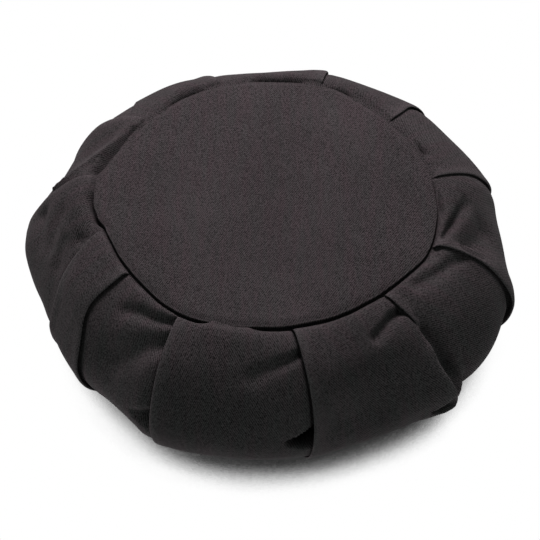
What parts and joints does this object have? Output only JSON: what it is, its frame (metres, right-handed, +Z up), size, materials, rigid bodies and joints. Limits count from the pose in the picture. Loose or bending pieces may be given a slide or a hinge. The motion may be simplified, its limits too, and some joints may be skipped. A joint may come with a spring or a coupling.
{
  "type": "meditation cushion",
  "caption": "Round, low, filled meditation cushion of charcoal cotton twill with a flat round top and a side band laid in uneven pleats.",
  "frame": {"origin": "on the floor, under the middle of the cushion, at the centre of the bottom panel's flat face", "axes": "+Z up out of the middle of the top panel; +X to the right and -Y towards a person who looks at its front"},
  "size_m": [0.3766, 0.3704, 0.113],
  "materials": {
    "cotton": "matte"
  },
  "bodies": {
    "root": {"pleated_side": "cotton", "top_panel": "cotton", "bottom_panel": "cotton"}
  },
  "joints": []
}
